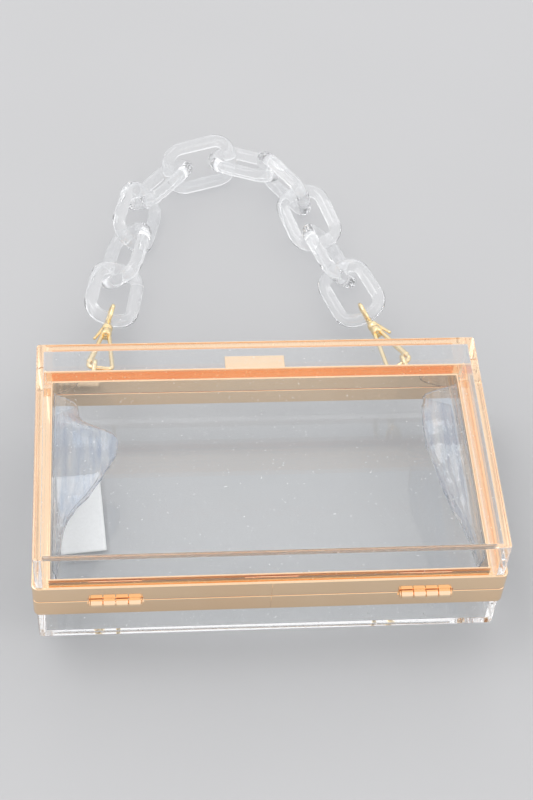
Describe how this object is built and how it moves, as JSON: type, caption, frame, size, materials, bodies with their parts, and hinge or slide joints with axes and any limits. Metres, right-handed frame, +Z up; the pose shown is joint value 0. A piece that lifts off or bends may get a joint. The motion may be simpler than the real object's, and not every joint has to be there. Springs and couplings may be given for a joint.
{
  "type": "acrylic box clutch",
  "caption": "Clear acrylic box clutch with gold edge channels, a hinged lid, folded film gussets, a thumb tab and a strap of interlocking clear links on swivel hooks.",
  "frame": {"origin": "middle of the underside of the closed box, which lies on its back", "axes": "+Z up through the lid, +Y from the hinge side to the clasp side and along the strap, +X along the hinges"},
  "size_m": [0.2028, 0.3025, 0.06],
  "materials": {
    "acrylic": "polished clear",
    "frame_gold": "polished plating",
    "hook_gold": "polished plating",
    "film": "clear creased film",
    "paper": "uncoated"
  },
  "bodies": {
    "base": {"base_tray": "acrylic", "chain_link_01": "acrylic", "chain_link_02": "acrylic", "chain_link_03": "acrylic", "chain_link_04": "acrylic", "chain_link_05": "acrylic", "chain_link_06": "acrylic", "chain_link_07": "acrylic", "chain_link_08": "acrylic", "chain_link_09": "acrylic", "chain_link_10": "acrylic", "base_frame": "frame_gold", "hinge_pin_left": "frame_gold", "hinge_pin_right": "frame_gold", "lug_left": "hook_gold", "lug_right": "hook_gold", "hook_left": "hook_gold", "hook_right": "hook_gold", "hook_eye_left": "hook_gold", "hook_eye_right": "hook_gold", "gusset_left": "film", "gusset_right": "film", "label": "paper"},
    "lid": {"lid_tray": "acrylic", "lid_frame": "frame_gold", "clasp_tab": "frame_gold"}
  },
  "joints": [
    {"name": "lid_hinge", "type": "hinge", "parent": "base", "child": "lid", "pos_m": [0, -0.0609, 0.03], "axis": [1, 0, 0], "range_deg": [0, 40], "deforming": ["gusset_left", "gusset_right"]}
  ]
}
